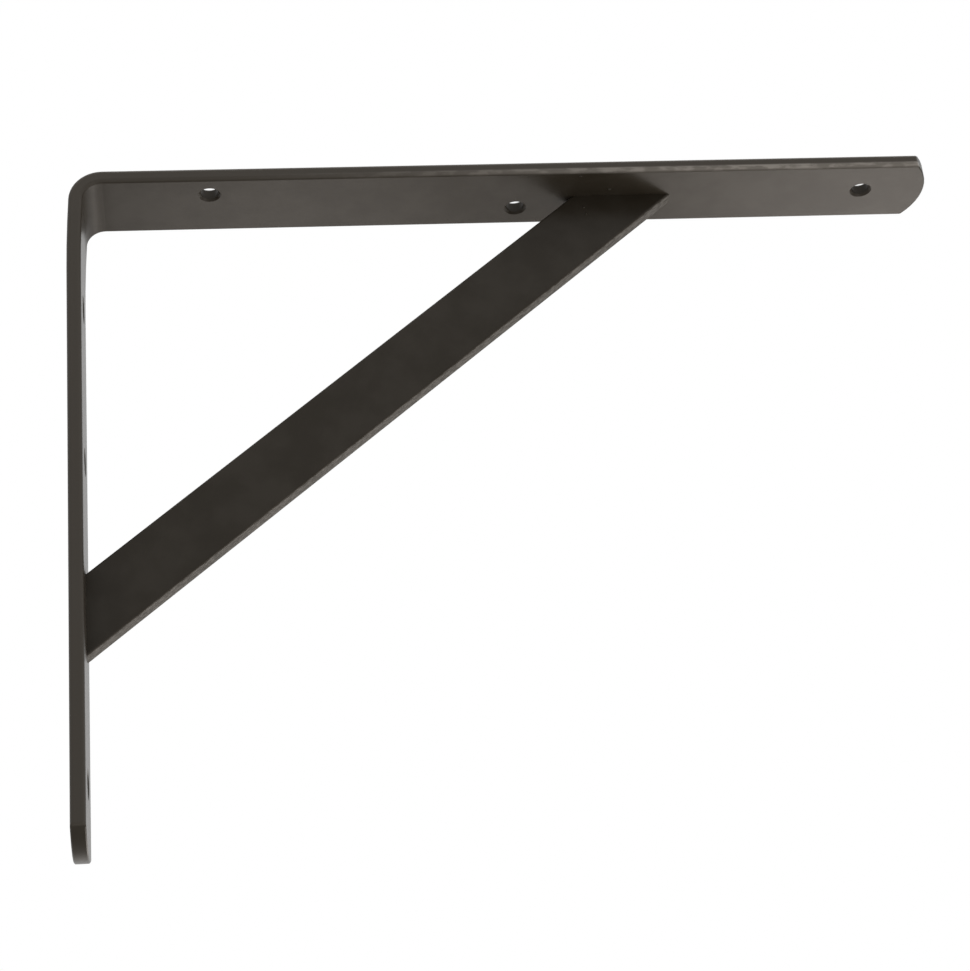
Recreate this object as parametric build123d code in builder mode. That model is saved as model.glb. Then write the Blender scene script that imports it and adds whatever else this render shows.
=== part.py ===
"""Welded shelf bracket: a flat bar bent into an arm and a leg, and a diagonal brace set on edge.

Millimetres, +Z up. The wall is the plane x = 0, the arm runs along +X, and y = 0 is the middle
of the bar's width. The origin is on the wall face, on the axis of the top wall screw.
"""

import math
import os

from build123d import *

os.makedirs("parts", exist_ok=True)

# Flat bar of the arm and the leg
bar_width = 25.0
bar_thickness = 4.0
arm_length = 249.5  # wall face to the tip of the arm
leg_length = 200.2  # shelf face to the tip of the leg
bar_edge_radius = 1.1  # rolled long edges
end_radius = 20.0  # rounded ends, seen square to the bar
end_chamfer = 0.3  # softened rims of the sheared ends

# Bend: a tight turn that runs out gently into the leg
bend_radius = 5.5  # inside the tight turn
runout_radius = 450.0
runout_angle = 3.0  # share of the quarter turn, in degrees

# Screw holes
shelf_hole_diameter = 5.2
wall_hole_diameter = 7.0
hole_chamfer = 0.6  # deburred rims on both faces
arm_hole_margin = 19.0  # last hole of the arm, in from its tip
leg_hole_margin = 19.6  # last hole of the leg, in from its tip
wall_hole_drops = (38.5, 87.4, leg_length - leg_hole_margin)  # below the shelf face
shelf_hole_spots = (  # out from the wall, and off the middle of the bar
    (40.0, -5.0),
    (128.5, 4.5),
    (arm_length - arm_hole_margin, -0.7),
)

# Brace
brace_width = 18.4
brace_thickness = 5.0
brace_edge_radius = 0.6
brace_setback = 1.5  # middle of the brace behind the middle of the bar
brace_reach = 173.5  # wall face to the line of the brace's lower edge, under the arm
brace_drop = 145.4  # shelf face to the line of the brace's lower edge, at the leg

# Weld beads, along the back of the brace
bead_leg = 3.0  # how far a bead spreads on the bar, and on the brace
bead_crown = 0.4  # how far its face swells
bead_end_radius = 1.2
heel_stop = 2.0  # a bead stops short of the brace's heel, its upper corner on the bar
toe_stop = 6.0  # and short of its toe, its lower corner on the bar

# Levels and lines that follow from the sizes above
shelf_level = wall_hole_drops[0]
under_arm_level = shelf_level - bar_thickness
leg_tip_level = shelf_level - leg_length
outer_bend_radius = bend_radius + bar_thickness
runout_sine = math.sin(math.radians(runout_angle))
runout_level = shelf_level - outer_bend_radius * (1 - runout_sine) - runout_radius * runout_sine
brace_foot_level = shelf_level - brace_drop
brace_run = brace_reach - bar_thickness
brace_rise = under_arm_level - brace_foot_level
brace_length = math.hypot(brace_run, brace_rise)
brace_back = brace_setback + brace_thickness / 2
crown_reach = bead_leg / 2 + bead_crown / math.sqrt(2)


# Bent bar with its rounded ends and screw holes
with BuildPart() as angle_bar:
    with BuildSketch(Plane.XZ):
        with BuildLine():
            leg_line = Line((0, leg_tip_level), (0, runout_level))
            runout = JernArc(leg_line @ 1, leg_line % 1, runout_radius, -runout_angle)
            bend = JernArc(runout @ 1, runout % 1, outer_bend_radius, runout_angle - 90)
            Line(bend @ 1, (arm_length, shelf_level))
            offset(amount=bar_thickness, side=Side.RIGHT)
        make_face()
    extrude(amount=bar_width / 2, both=True)
    fillet(angle_bar.faces().filter_by(Axis.Y).edges(), radius=bar_edge_radius)

    with BuildSketch(Plane.XY.offset(shelf_level)):
        with Locations((arm_length - end_radius, 0)):
            Rectangle(end_radius, 2 * end_radius, align=(Align.MIN, Align.CENTER))
            Circle(end_radius, mode=Mode.SUBTRACT)
    extrude(amount=-bar_thickness, mode=Mode.SUBTRACT)

    with BuildSketch(Plane.YZ):
        with Locations((0, leg_tip_level + end_radius)):
            Rectangle(2 * end_radius, end_radius, align=(Align.CENTER, Align.MAX))
            Circle(end_radius, mode=Mode.SUBTRACT)
    extrude(amount=bar_thickness, mode=Mode.SUBTRACT)

    arm_end = angle_bar.faces().sort_by(Axis.X)[-1]
    leg_end = angle_bar.faces().sort_by(Axis.Z)[0]
    chamfer(arm_end.edges() + leg_end.edges(), length=end_chamfer)

    shelf_spots = [(out, aside, shelf_level) for out, aside in shelf_hole_spots]
    wall_spots = [Plane((0, 0, shelf_level - drop), z_dir=(-1, 0, 0)) for drop in wall_hole_drops]
    for spots, diameter in ((shelf_spots, shelf_hole_diameter), (wall_spots, wall_hole_diameter)):
        with Locations(*spots):
            Hole(radius=diameter / 2, depth=bar_thickness)
        chamfer(angle_bar.edges(Select.LAST).filter_by(GeomType.CIRCLE), length=hole_chamfer)
angle_bar.part.label = "angle_bar"
export_step(angle_bar.part, "parts/angle_bar.step")


# Brace: a straight bar along the slope, its ends cut to sit flat on the arm and the leg
slope = Plane(
    (bar_thickness, brace_setback, brace_foot_level),
    x_dir=(brace_run, 0, brace_rise),
    z_dir=(0, -1, 0),
)
with BuildPart() as brace:
    with BuildSketch(slope):
        with Locations((brace_length / 2, 0)):
            Rectangle(2 * brace_length, brace_width, align=(Align.CENTER, Align.MIN))
    extrude(amount=brace_thickness / 2, both=True)
    fillet(brace.edges().filter_by(Axis((0, 0, 0), slope.x_dir)), radius=brace_edge_radius)
    split(bisect_by=Plane((0, 0, under_arm_level), z_dir=(0, 0, -1)), keep=Keep.TOP)
    split(bisect_by=Plane((bar_thickness, 0, 0), z_dir=(1, 0, 0)), keep=Keep.TOP)
brace.part.label = "brace"
export_step(brace.part, "parts/brace.step")


# Weld beads: each runs along a joint's plane, from near the toe at the arm and near the heel at the leg
arm_seat_length = brace_width * brace_length / brace_rise
leg_seat_length = brace_width * brace_length / brace_run
leg_heel_level = brace_foot_level + leg_seat_length
for label, start, along, seat_length in (
    ("arm_weld", (brace_reach - toe_stop, brace_back, under_arm_level), (-1, 0, 0), arm_seat_length),
    ("leg_weld", (bar_thickness, brace_back, leg_heel_level - heel_stop), (0, 0, -1), leg_seat_length),
):
    with BuildPart() as weld:
        with BuildSketch(Plane(start, x_dir=(0, 1, 0), z_dir=along)):
            with BuildLine():
                foot = Line((0, 0), (bead_leg, 0))
                face = ThreePointArc(foot @ 1, (crown_reach, crown_reach), (0, bead_leg))
                Line(face @ 1, foot @ 0)
            make_face()
        extrude(amount=seat_length - heel_stop - toe_stop)
        crown = weld.faces().filter_by(GeomType.CYLINDER)
        fillet(crown.edges().filter_by(GeomType.CIRCLE), radius=bead_end_radius)
    weld.part.label = label
    export_step(weld.part, f"parts/{label}.step")
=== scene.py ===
"""Looks of a welded flat-bar shelf bracket: satin enamel, rippled welds, weld spatter and a studio.

Metres, in the part's own frame: the wall is the plane x = 0, the arm runs along +X, +Z is up.
"""

import math

import bmesh
import bpy
from mathutils import Matrix, Vector


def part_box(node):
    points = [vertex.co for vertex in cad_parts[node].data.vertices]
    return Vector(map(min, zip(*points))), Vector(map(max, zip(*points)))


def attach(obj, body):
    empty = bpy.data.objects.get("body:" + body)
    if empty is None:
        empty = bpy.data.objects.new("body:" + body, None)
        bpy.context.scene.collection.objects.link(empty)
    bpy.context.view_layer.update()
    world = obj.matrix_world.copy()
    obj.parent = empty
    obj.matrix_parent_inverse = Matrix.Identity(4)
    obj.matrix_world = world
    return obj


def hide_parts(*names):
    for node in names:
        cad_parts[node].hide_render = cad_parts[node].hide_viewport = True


bl_info = {
    "name": "Welded shelf bracket",
    "version": (1, 0, 0),
    "blender": (4, 5, 0),
    "location": "3D View > Sidebar > Bracket",
    "description": "Enamels a shelf bracket, adds its rippled welds and spatter and sets it in a studio",
    "category": "Object",
}

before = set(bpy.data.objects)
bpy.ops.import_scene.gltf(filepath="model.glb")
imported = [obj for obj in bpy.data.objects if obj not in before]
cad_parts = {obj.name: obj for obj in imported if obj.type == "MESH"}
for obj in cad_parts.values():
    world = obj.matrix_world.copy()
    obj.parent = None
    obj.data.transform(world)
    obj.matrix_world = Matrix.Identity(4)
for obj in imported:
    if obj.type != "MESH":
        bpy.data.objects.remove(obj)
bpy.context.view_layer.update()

MM = 0.001

# Marks on the bent bar: each pair is the distance at which a mark starts, and at which it is full
EDGE_INSET = (0.9 * MM, 0.2 * MM)  # thin enamel on the long edges, in from the bar's side
HIGHLIGHT_AND_RUB_INSET = (1.2 * MM, 0.7 * MM)  # painted highlight and rubbed line on the arm's edges, in from the bar's side
HIGHLIGHT_AND_RUB_SPREAD = (0.95 * MM, 0.3 * MM)  # painted highlight and rubbed line, above and below its middle
HIGHLIGHT_AND_RUB_RUN = (40 * MM, 200 * MM)  # painted highlight and rubbed line, out from the wall
BEND_RUN = (14 * MM, 9 * MM)  # coarse skin inside the bend, out from the wall
BEND_DROP = (16 * MM, 10 * MM)  # coarse skin inside the bend, below the shelf face
HIGHLIGHT_AND_RUB_LINE = 3.2 * MM  # middle of the painted highlight and rubbed line, below the shelf face
HIGHLIGHT_AND_RUB_LEAST = 0.5  # strength of the painted highlight and rubbed line where it is faintest
DASH_SCALE = (0.35, 1, 1)  # draws the marks of painted highlight and wear out along x, to nearly three times their size

# Marks on the brace's narrow edges
BRACE_WIDTH = 18.4 * MM
BRACE_EDGE_INSET = (0.25 * MM, 0.05 * MM)  # where they start and are full, in from the edge
# Strength of the pale specks: painted glints mixed with rubbed wear
BRACE_SPECK_STRENGTH = 0.2
BRACE_SPECK_SHARE = 0.25  # size of the pale specks, painted glints mixed with rubbed wear, as a share of the marks on the arm
BRACE_EDGE_SKIN = 1.8  # how coarse the skin is, as a share of that inside the bend

# Enamel all over
CLOUD_SIZE = 14 * MM
CLOUD_STRENGTH = 0.25
COARSE_SKIN = 0.13  # what a coarse skin adds to the roughness
PEEL_DEPTH = 0.02 * MM
RUB_DEPTH = 0.05 * MM
LUMPINESS = 0.55  # how strong the finer lumps of each cloudy pattern are

# Weld beads: widths are shares of a bead's full width
BEAD_SIDES = 24
BEAD_END = 0.55  # width of the first ring and the last
BEAD_SWELL = 0.2  # what each ring gains on the one before it, from either end
RIPPLE_WIDTHS = (0.95, 1.0, 0.99, 0.97)  # rings of one ripple in turn
RIPPLE_SWAY = (0.035, 1.9)  # how much the width wavers, and the phase from one ripple to the next
RING_SWAY = (0.02, 0.37)  # the same from one ring to the next
SPATTER_STRETCH = (1.2, 1.0, 0.9)  # a speck's half sizes, as shares of its radius

# Floor: how far it reaches, its fibres, and the distances and levels of its lift towards white
FLOOR_RADIUS = 6.0
FIBRE_SIZE = 3 * MM
FIBRE_DEPTH = 0.1 * MM
LIFT_RUN = (0.8, 4.5)
LIFT_LEVELS = (0.36, 0.75)

# Soft boxes: where each hangs, where it points, its width and height, and its brightness
SOFT_BOXES = {
    "top_box": ((0.2, -0.5, 1.4), (0.12, 0, 0), (1.2, 1.2), 1.55),
    "under_box": ((0.44, -0.1, -0.46), (0.44, -0.1, 0), (0.4, 0.6), 1.6),
    "low_left_box": ((0.09, 0.66, -0.43), (0.06, 0, 0.03), (0.18, 0.3), 2.3),
    "low_right_box": ((0.64, 0.66, -0.43), (0.2, 0, 0.03), (0.6, 0.36), 4.1),
}

# Camera: its place, its turn in degrees and the width of its sensor in millimetres
CAMERA_PLACE = Vector((33.23, -595.35, -391.33)) * MM
CAMERA_TURN = (118.992, 4.877, -4.763)
SENSOR_WIDTH = 36.0


def linear(code):
    """The linear colour of an sRGB hex value."""
    shares = [int(code[start : start + 2], 16) / 255 for start in (1, 3, 5)]
    colour = [
        share / 12.92 if share <= 0.04045 else ((share + 0.055) / 1.055) ** 2.4 for share in shares
    ]
    return colour + [1.0]


def add_node(tree, kind, inputs=(), **settings):
    """Add a node with its settings, and set its inputs or link them, a node by its first output."""
    node = tree.nodes.new(kind)
    for name, value in settings.items():
        setattr(node, name, value)
    for socket, value in dict(inputs).items():
        if isinstance(value, bpy.types.Node):
            value = value.outputs[0]
        if isinstance(value, bpy.types.NodeSocket):
            tree.links.new(value, node.inputs[socket])
        else:
            node.inputs[socket].default_value = value
    return node


def new_tree(owner):
    """The emptied node tree of a material or the world."""
    owner.use_nodes = True
    owner.node_tree.nodes.clear()
    return owner.node_tree


class EnamelSettings(bpy.types.PropertyGroup):
    """Satin enamel over hot-rolled bar"""

    colour: bpy.props.FloatVectorProperty(
        name="Enamel",
        description="Colour of the enamel on the broad faces",
        subtype="COLOR",
        size=4,
        min=0.0,
        max=1.0,
        default=linear("#2e2a23"),
    )
    thin_colour: bpy.props.FloatVectorProperty(
        name="Thin enamel",
        description="Colour of the enamel on the narrow edges, where it lies thinner",
        subtype="COLOR",
        size=4,
        min=0.0,
        max=1.0,
        default=linear("#494641"),
    )
    # Pale colour along the corners: a painted highlight, mixed with rubbed wear
    highlight_and_rub_colour: bpy.props.FloatVectorProperty(
        name="Highlight and worn enamel",
        description="Colour of the painted highlight and the rubbed enamel along the corners",
        subtype="COLOR",
        size=4,
        min=0.0,
        max=1.0,
        default=linear("#9a9894"),
    )
    roughness: bpy.props.FloatProperty(
        name="Roughness",
        description="How far the enamel blurs what it mirrors",
        subtype="FACTOR",
        min=0.05,
        max=1.0,
        default=0.31,
    )
    grain: bpy.props.FloatProperty(
        name="Grain",
        description="Size of the fine orange peel",
        unit="LENGTH",
        subtype="DISTANCE",
        min=0.2 * MM,
        max=5.0 * MM,
        default=0.7 * MM,
    )
    # Size of the pale marks along the corners: painted highlight mixed with rubbed wear
    highlight_and_rub_size: bpy.props.FloatProperty(
        name="Highlight and wear",
        description="Size of the painted highlight and rubbed marks on the corners, before they are drawn out into dashes",
        unit="LENGTH",
        subtype="DISTANCE",
        min=0.5 * MM,
        max=10.0 * MM,
        default=2.5 * MM,
    )


class WeldSettings(bpy.types.PropertyGroup):
    """Weld beads and what they threw off"""

    ripple_pitch: bpy.props.FloatProperty(
        name="Ripple pitch",
        description="Spacing of the ripples along a bead",
        unit="LENGTH",
        subtype="DISTANCE",
        min=0.5 * MM,
        max=4.0 * MM,
        default=1.6 * MM,
    )
    spatter_radius: bpy.props.FloatProperty(
        name="Spatter",
        description="Radius of the largest speck of spatter",
        unit="LENGTH",
        subtype="DISTANCE",
        min=0.1 * MM,
        max=1.5 * MM,
        default=0.55 * MM,
    )


class StageSettings(bpy.types.PropertyGroup):
    """Floor, light and camera"""

    floor_colour: bpy.props.FloatVectorProperty(
        name="Floor",
        description="Colour of the floor",
        subtype="COLOR",
        size=4,
        min=0.0,
        max=1.0,
        default=linear("#f2f1ef"),
    )
    floor_drop: bpy.props.FloatProperty(
        name="Floor drop",
        description="How far the floor lies under the bracket's origin, below the camera",
        unit="LENGTH",
        subtype="DISTANCE",
        min=0.2,
        max=2.0,
        default=1.1,
    )
    light_colour: bpy.props.FloatVectorProperty(
        name="Light",
        description="Colour of the room's light and of the lamps",
        subtype="COLOR",
        size=4,
        min=0.0,
        max=1.0,
        default=(1.0, 0.93, 0.87, 1.0),
    )
    fill_level: bpy.props.FloatProperty(
        name="Fill",
        description="Brightness of the room as it lights the bracket",
        subtype="FACTOR",
        min=0.0,
        max=1.0,
        default=0.45,
    )
    lens: bpy.props.FloatProperty(
        name="Lens",
        description="Focal length of the camera, in millimetres",
        unit="CAMERA",
        subtype="DISTANCE_CAMERA",
        min=20.0,
        max=300.0,
        default=93.75,
    )


def highlight_and_rub_marks(tree, coords, size, least, most):
    """Broken marks of painted highlight and wear that run along x, between a least strength and a most.
    """
    drawn_out = add_node(tree, "ShaderNodeMapping", {"Vector": coords, "Scale": DASH_SCALE})
    marks = add_node(
        tree,
        "ShaderNodeTexNoise",
        {"Vector": drawn_out, "Scale": 1 / size, "Detail": 4.0, "Roughness": LUMPINESS},
    )
    return add_node(
        tree,
        "ShaderNodeMapRange",
        {"Value": marks, "From Min": 0.42, "From Max": 0.6, "To Min": least, "To Max": most},
        interpolation_type="SMOOTHSTEP",
    )


def bar_edges(tree, coords):
    """The bent bar's narrow edges, where they carry a painted highlight mixed with rubbed wear, and the
    coarse skin inside its bend.
    """
    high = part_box("angle_bar")[1]
    axes = add_node(tree, "ShaderNodeSeparateXYZ", {"Vector": coords}).outputs
    aside = add_node(tree, "ShaderNodeMath", {0: axes["Y"]}, operation="ABSOLUTE")
    inset = add_node(tree, "ShaderNodeMath", {0: high.y, 1: aside}, operation="SUBTRACT")
    drop = add_node(tree, "ShaderNodeMath", {0: high.z, 1: axes["Z"]}, operation="SUBTRACT")
    past_line = add_node(tree, "ShaderNodeMath", {0: drop, 1: HIGHLIGHT_AND_RUB_LINE}, operation="SUBTRACT")
    off_line = add_node(tree, "ShaderNodeMath", {0: past_line}, operation="ABSOLUTE")
    edge, highlight_and_rub_inset, highlight_and_rub_spread, highlight_and_rub_run, bend_run, bend_drop = (
        add_node(
            tree,
            "ShaderNodeMapRange",
            {"Value": distance, "From Min": start, "From Max": full},
            interpolation_type="SMOOTHSTEP",
        )
        for distance, (start, full) in (
            (inset, EDGE_INSET),
            (inset, HIGHLIGHT_AND_RUB_INSET),
            (off_line, HIGHLIGHT_AND_RUB_SPREAD),
            (axes["X"], HIGHLIGHT_AND_RUB_RUN),
            (axes["X"], BEND_RUN),
            (drop, BEND_DROP),
        )
    )
    # Painted highlight in pale dashes along the arm's edges, mixed with rubbed wear
    highlight_and_rub = highlight_and_rub_marks(tree, coords, bpy.context.scene.bracket_enamel.highlight_and_rub_size, HIGHLIGHT_AND_RUB_LEAST, 1.0)
    for share in (highlight_and_rub_inset, highlight_and_rub_spread, highlight_and_rub_run):
        highlight_and_rub = add_node(tree, "ShaderNodeMath", {0: highlight_and_rub, 1: share}, operation="MULTIPLY")
    coarse = add_node(tree, "ShaderNodeMath", {0: bend_run, 1: bend_drop}, operation="MULTIPLY")
    return edge, highlight_and_rub, coarse


def brace_edges(tree, coords):
    """No thin coat on the brace, but fine specks of painted glint mixed with rubbed wear, and a coarse
    skin on its narrow edges.
    """
    # The brace's own axes start in the middle of its width: x runs along its slope, z across its width
    low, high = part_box("brace")
    foot = Vector((low.x, (low.y + high.y) / 2, low.z))
    slope = math.atan2(high.z - low.z, high.x - low.x)
    upright = Vector((-math.sin(slope), 0, math.cos(slope)))
    half_width = BRACE_WIDTH / 2
    own = add_node(
        tree,
        "ShaderNodeMapping",
        {
            "Vector": coords,
            "Location": foot + upright * half_width,
            "Rotation": (0, -slope, 0),
        },
        vector_type="TEXTURE",
    )
    axes = add_node(tree, "ShaderNodeSeparateXYZ", {"Vector": own}).outputs
    off_middle = add_node(tree, "ShaderNodeMath", {0: axes["Z"]}, operation="ABSOLUTE")
    inset = add_node(tree, "ShaderNodeMath", {0: half_width, 1: off_middle}, operation="SUBTRACT")
    start, full = BRACE_EDGE_INSET
    edge = add_node(
        tree,
        "ShaderNodeMapRange",
        {"Value": inset, "From Min": start, "From Max": full},
        interpolation_type="SMOOTHSTEP",
    )
    # Painted glints in pale specks along the brace's narrow edges, mixed with rubbed wear
    size = bpy.context.scene.bracket_enamel.highlight_and_rub_size * BRACE_SPECK_SHARE
    specks = highlight_and_rub_marks(tree, own, size, 0.0, BRACE_SPECK_STRENGTH)
    highlight_and_rub = add_node(tree, "ShaderNodeMath", {0: edge, 1: specks}, operation="MULTIPLY")
    coarse = add_node(tree, "ShaderNodeMath", {0: edge, 1: BRACE_EDGE_SKIN}, operation="MULTIPLY")
    return 0.0, highlight_and_rub, coarse


def satin_enamel(name, edges=None):
    """Satin enamel, brushed or sprayed thinly over hot-rolled steel bar.

    To the eye it is a near-black brown with a soft shine: broad faces have a fine orange peel and
    faint clouds, narrow edges are a little paler, and the corners show broken pale dashes: a painted
    highlight mixed with rubbed wear.
    edges finds a bar's narrow edges, where they carry the painted highlight and rubbed wear, and where
    the skin is coarse.
    """
    settings = bpy.context.scene.bracket_enamel
    material = bpy.data.materials.new(name)
    tree = new_tree(material)
    coords = add_node(tree, "ShaderNodeTexCoord").outputs["Object"]
    edge, highlight_and_rub, coarse = edges(tree, coords) if edges else (0.0, 0.0, 0.0)
    clouds, grain = (
        add_node(
            tree,
            "ShaderNodeTexNoise",
            {"Vector": coords, "Scale": 1 / size, "Detail": detail, "Roughness": LUMPINESS},
        )
        for size, detail in ((CLOUD_SIZE, 3.0), (settings.grain, 2.0))
    )

    # Colour: clouds shift it a little, the edges are thin, and the corners get a painted highlight mixed
    # with rubbed wear
    faint = add_node(
        tree,
        "ShaderNodeMapRange",
        {"Value": clouds, "From Min": 0.35, "From Max": 0.65, "To Max": CLOUD_STRENGTH},
        interpolation_type="SMOOTHSTEP",
    )
    thin = add_node(tree, "ShaderNodeMath", {0: faint, 1: edge}, operation="MAXIMUM")
    colour = settings.colour
    # The second mix paints a pale highlight along the corners, together with rubbed wear
    for share, other in ((thin, settings.thin_colour), (highlight_and_rub, settings.highlight_and_rub_colour)):
        colour = add_node(
            tree, "ShaderNodeMix", {"Factor": share, 6: colour, 7: other}, data_type="RGBA"
        ).outputs[2]

    # Shine: the grain varies it, and a coarse skin dulls it
    shine = add_node(
        tree,
        "ShaderNodeMapRange",
        {
            "Value": grain,
            "From Min": 0.3,
            "From Max": 0.7,
            "To Min": settings.roughness - 0.02,
            "To Max": settings.roughness + 0.04,
        },
    )
    roughness = add_node(
        tree, "ShaderNodeMath", {0: coarse, 1: COARSE_SKIN, 2: shine}, operation="MULTIPLY_ADD"
    )

    # Relief: orange peel all over, and the places of painted highlight and rubbed wear lie a little
    # lower
    normal = add_node(
        tree, "ShaderNodeBump", {"Height": grain, "Strength": 0.2, "Distance": PEEL_DEPTH}
    )
    if edges:
        normal = add_node(
            tree,
            "ShaderNodeBump",
            {"Height": highlight_and_rub, "Strength": 0.3, "Distance": RUB_DEPTH, "Normal": normal},
            invert=True,
        )

    shader = add_node(
        tree,
        "ShaderNodeBsdfPrincipled",
        {
            "Base Color": colour,
            "Roughness": roughness,
            "IOR": 1.5,
            "Specular IOR Level": 0.16,
            "Normal": normal,
        },
    )
    add_node(tree, "ShaderNodeOutputMaterial", {"Surface": shader})
    return material


def white_rays(tree):
    """One for the rays that show the white surroundings: the camera's, mirrored and passed through."""
    rays = add_node(tree, "ShaderNodeLightPath").outputs
    shown = rays["Is Camera Ray"]
    for kind in ("Is Glossy Ray", "Is Transmission Ray"):
        shown = add_node(tree, "ShaderNodeMath", {0: shown, 1: rays[kind]}, operation="MAXIMUM")
    return shown


def matt_white_board(colour):
    """Matt white board, which takes a soft shadow, mirrors nothing and runs out into white."""
    material = bpy.data.materials.new("matt_white_board")
    tree = new_tree(material)
    coords = add_node(tree, "ShaderNodeTexCoord").outputs["Object"]
    fibres = add_node(tree, "ShaderNodeTexNoise", {"Vector": coords, "Scale": 1 / FIBRE_SIZE})
    relief = add_node(
        tree, "ShaderNodeBump", {"Height": fibres, "Strength": 0.1, "Distance": FIBRE_DEPTH}
    )
    board = add_node(tree, "ShaderNodeBsdfDiffuse", {"Color": colour, "Normal": relief})

    # What is seen of it is lifted towards the white of the surroundings, more so further out
    far = add_node(tree, "ShaderNodeVectorMath", {0: coords}, operation="LENGTH").outputs["Value"]
    rise = add_node(
        tree,
        "ShaderNodeMapRange",
        {
            "Value": far,
            "From Min": LIFT_RUN[0],
            "From Max": LIFT_RUN[1],
            "To Min": LIFT_LEVELS[0],
            "To Max": LIFT_LEVELS[1],
        },
        interpolation_type="SMOOTHSTEP",
    )
    strength = add_node(
        tree, "ShaderNodeMath", {0: white_rays(tree), 1: rise}, operation="MULTIPLY"
    )
    lift = add_node(tree, "ShaderNodeEmission", {"Strength": strength})
    both = add_node(tree, "ShaderNodeAddShader", {0: board, 1: lift})
    add_node(tree, "ShaderNodeOutputMaterial", {"Surface": both})
    return material


def dress(node, material):
    """Give a CAD node its finish."""
    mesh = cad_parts[node].data
    mesh.materials.clear()
    mesh.materials.append(material)


def add_piece(name, shape, material):
    """Turn a bmesh into a finished piece that rides on the bracket."""
    mesh = bpy.data.meshes.new(name)
    shape.to_mesh(mesh)
    shape.free()
    mesh.materials.append(material)
    piece = bpy.data.objects.new(name, mesh)
    bpy.context.scene.collection.objects.link(piece)
    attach(piece, "root")
    return piece


def add_bead(shape, start, end, radius, pitch):
    """Lay a rippled bead about the corner from start to end, sunk in the metal on both sides of it.

    A bead is a row of rings, four to a ripple: each ripple rises at once and sinks away slowly.
    """
    run = end - start
    ripples = round(run.length / pitch)
    rings = len(RIPPLE_WIDTHS) * ripples
    step = run / rings
    made = bmesh.ops.create_circle(
        shape,
        cap_ends=True,
        segments=BEAD_SIDES,
        radius=BEAD_END * radius,
        matrix=Matrix.Translation(start) @ run.to_track_quat("Z", "Y").to_matrix().to_4x4(),
    )
    ring = list({edge for vert in made["verts"] for edge in vert.link_edges})
    width = BEAD_END
    for number in range(1, rings + 1):
        ripple, place = divmod(number, len(RIPPLE_WIDTHS))
        sway = 1.0
        for (amount, phase), count in ((RIPPLE_SWAY, ripple), (RING_SWAY, number)):
            sway += amount * math.sin(phase * count)
        taper = min(1.0, BEAD_END + BEAD_SWELL * min(number, rings - number))
        new_width = taper * sway * RIPPLE_WIDTHS[place]
        pulled = bmesh.ops.extrude_edge_only(shape, edges=ring)["geom"]
        verts = [item for item in pulled if isinstance(item, bmesh.types.BMVert)]
        edges = [item for item in pulled if isinstance(item, bmesh.types.BMEdge)]
        ring = [edge for edge in edges if all(vert in verts for vert in edge.verts)]
        bmesh.ops.scale(
            shape,
            vec=[new_width / width] * 3,
            space=Matrix.Translation(-(start + step * (number - 1))),
            verts=verts,
        )
        bmesh.ops.translate(shape, vec=step, verts=verts)
        width = new_width
    bmesh.ops.holes_fill(shape, edges=ring)
    bmesh.ops.recalc_face_normals(shape, faces=shape.faces)
    for face in shape.faces:
        face.smooth = True


def add_blob(shape, place, half_sizes):
    """Add a small rounded lump of weld metal, longer one way than the other."""
    made = bmesh.ops.create_uvsphere(
        shape,
        u_segments=14,
        v_segments=8,
        radius=1.0,
        matrix=Matrix.Translation(place) @ Matrix.Diagonal((*half_sizes, 1.0)),
    )
    for face in {face for vert in made["verts"] for face in vert.link_faces}:
        face.smooth = True


class BRACKET_OT_bar(bpy.types.Operator):
    """Enamel the bent flat bar"""

    bl_idname = "bracket.bar"
    bl_label = "Bent bar"

    def execute(self, context):
        dress("angle_bar", satin_enamel("satin_enamel_on_bar", edges=bar_edges))
        return {"FINISHED"}


class BRACKET_OT_brace(bpy.types.Operator):
    """Enamel the diagonal brace"""

    bl_idname = "bracket.brace"
    bl_label = "Brace"

    def execute(self, context):
        dress("brace", satin_enamel("satin_enamel_on_brace", edges=brace_edges))
        return {"FINISHED"}


class BRACKET_OT_weld_beads(bpy.types.Operator):
    """Lay the rippled weld bead at each end of the brace, along its back"""

    bl_idname = "bracket.weld_beads"
    bl_label = "Weld beads"

    def execute(self, context):
        pitch = context.scene.bracket_weld.ripple_pitch
        arm_low, arm_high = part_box("arm_weld")
        leg_low, leg_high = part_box("leg_weld")
        spread = arm_high.y - arm_low.y  # how far both beads reach onto the bar
        corners = {  # where the inner corner that each bead fills starts and ends
            "arm_weld": (
                Vector((arm_high.x, arm_low.y, arm_high.z)),
                Vector((arm_low.x, arm_low.y, arm_high.z)),
            ),
            "leg_weld": (
                Vector((leg_low.x, leg_low.y, leg_high.z)),
                Vector((leg_low.x, leg_low.y, leg_low.z)),
            ),
        }
        material = satin_enamel("satin_enamel_on_welds")
        for node, (start, end) in corners.items():
            shape = bmesh.new()
            add_bead(shape, start, end, spread, pitch)
            piece = add_piece(f"rippled_{node}", shape, material)
            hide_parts(node)
        return {"FINISHED"}


class BRACKET_OT_spatter(bpy.types.Operator):
    """Scatter the specks of weld metal that froze beside the upper joint"""

    bl_idname = "bracket.spatter"
    bl_label = "Weld spatter"

    def execute(self, context):
        radius = context.scene.bracket_weld.spatter_radius
        under_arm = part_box("arm_weld")[1].z
        brace_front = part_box("brace")[0].y
        specks = (  # where each sits, and its share of the largest one's radius
            (Vector((155.2 * MM, -4.0 * MM, under_arm)), 1.0),
            (Vector((146.1 * MM, -10.6 * MM, under_arm)), 0.7),
            (Vector((147.7 * MM, brace_front, 30.2 * MM)), 0.7),
            (Vector((148.1 * MM, brace_front, 27.9 * MM)), 0.6),
        )
        material = satin_enamel("satin_enamel_on_spatter")
        shape = bmesh.new()
        for place, share in specks:
            add_blob(shape, place, [radius * share * stretch for stretch in SPATTER_STRETCH])
        add_piece("weld_spatter", shape, material)
        return {"FINISHED"}


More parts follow.
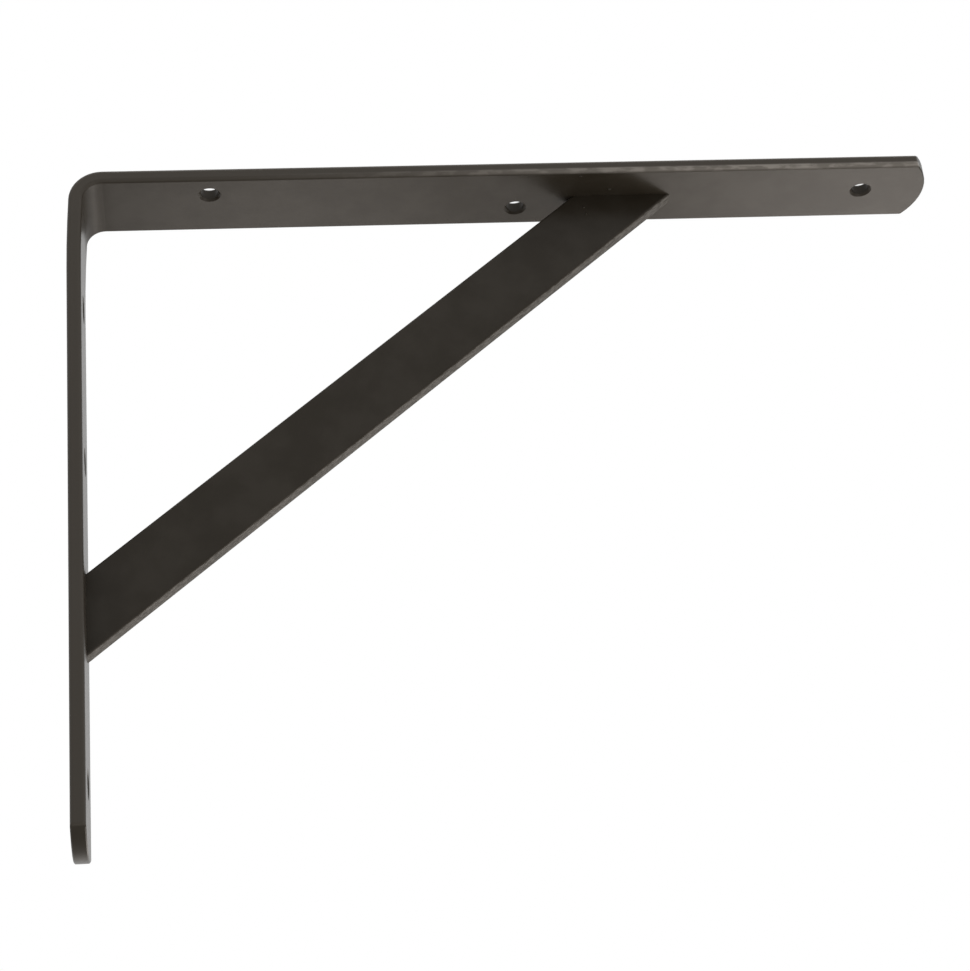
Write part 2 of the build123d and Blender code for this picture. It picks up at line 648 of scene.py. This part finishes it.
class BRACKET_OT_stage(bpy.types.Operator):
    """Set the floor, the white surroundings, the soft lamps and the camera"""

    bl_idname = "bracket.stage"
    bl_label = "Stage"

    def lay_floor(self, scene, settings):
        """Lay a round floor well under the bracket."""
        shape = bmesh.new()
        bmesh.ops.create_circle(
            shape,
            cap_ends=True,
            segments=128,
            radius=FLOOR_RADIUS,
            matrix=Matrix.Translation((0, 0, -settings.floor_drop)),
        )
        mesh = bpy.data.meshes.new("floor")
        shape.to_mesh(mesh)
        shape.free()
        mesh.materials.append(matt_white_board(settings.floor_colour))
        floor = bpy.data.objects.new("floor", mesh)
        scene.collection.objects.link(floor)

    def surround(self, scene, settings):
        """White for the camera and the shine, and an even dimmer fill for everything else."""
        scene.world = bpy.data.worlds.new("white_studio")
        tree = new_tree(scene.world)
        room = add_node(
            tree,
            "ShaderNodeBackground",
            {"Color": settings.light_colour, "Strength": settings.fill_level},
        )
        white = add_node(tree, "ShaderNodeBackground", {"Color": (1, 1, 1, 1), "Strength": 1.0})
        both = add_node(tree, "ShaderNodeMixShader", {0: white_rays(tree), 1: room, 2: white})
        add_node(tree, "ShaderNodeOutputWorld", {"Surface": both})

    def hang_lamps(self, scene, settings):
        """Hang the soft boxes, which only their light and their reflections show."""
        for name, (place, aim, (width, height), radiance) in SOFT_BOXES.items():
            data = bpy.data.lights.new(name, "AREA")
            data.shape = "RECTANGLE"
            data.size = width
            data.size_y = height
            data.energy = radiance * math.pi * width * height
            data.color = settings.light_colour[:3]
            lamp = bpy.data.objects.new(name, data)
            scene.collection.objects.link(lamp)
            lamp.location = place
            facing = (Vector(aim) - Vector(place)).to_track_quat("-Z", "Y")
            lamp.rotation_euler = facing.to_euler()
            lamp.visible_camera = False

    def set_camera(self, scene, settings):
        """Stand the camera below and to the left of the bracket, where the photograph was taken."""
        data = bpy.data.cameras.new("camera")
        data.lens = settings.lens
        data.sensor_width = SENSOR_WIDTH
        camera = bpy.data.objects.new("camera", data)
        scene.collection.objects.link(camera)
        camera.location = CAMERA_PLACE
        camera.rotation_euler = [math.radians(turn) for turn in CAMERA_TURN]
        scene.camera = camera

    def execute(self, context):
        scene = context.scene
        scene.view_settings.view_transform = "Standard"
        for build in (self.lay_floor, self.surround, self.hang_lamps, self.set_camera):
            build(scene, scene.bracket_stage)
        return {"FINISHED"}


class BRACKET_PT_pieces(bpy.types.Panel):
    """The bracket's pieces and settings"""

    bl_idname = "BRACKET_PT_pieces"
    bl_label = "Shelf bracket"
    bl_space_type = "VIEW_3D"
    bl_region_type = "UI"
    bl_category = "Bracket"

    def draw(self, context):
        for group in SETTINGS:
            settings = getattr(context.scene, group)
            for name in settings.__annotations__:
                self.layout.prop(settings, name)
        for piece in PIECES:
            self.layout.operator(piece.bl_idname)


PIECES = (
    BRACKET_OT_bar,
    BRACKET_OT_brace,
    BRACKET_OT_weld_beads,
    BRACKET_OT_spatter,
    BRACKET_OT_stage,
)
SETTINGS = {
    "bracket_enamel": EnamelSettings,
    "bracket_weld": WeldSettings,
    "bracket_stage": StageSettings,
}


def register():
    for name, group in SETTINGS.items():
        bpy.utils.register_class(group)
        setattr(bpy.types.Scene, name, bpy.props.PointerProperty(type=group))
    for cls in (*PIECES, BRACKET_PT_pieces):
        bpy.utils.register_class(cls)


def unregister():
    for cls in (BRACKET_PT_pieces, *reversed(PIECES)):
        bpy.utils.unregister_class(cls)
    for name, group in reversed(SETTINGS.items()):
        delattr(bpy.types.Scene, name)
        bpy.utils.unregister_class(group)


def main():
    register()
    bpy.ops.bracket.bar()
    bpy.ops.bracket.brace()
    bpy.ops.bracket.weld_beads()
    bpy.ops.bracket.spatter()
    bpy.ops.bracket.stage()


if __name__ == "__main__":
    main()
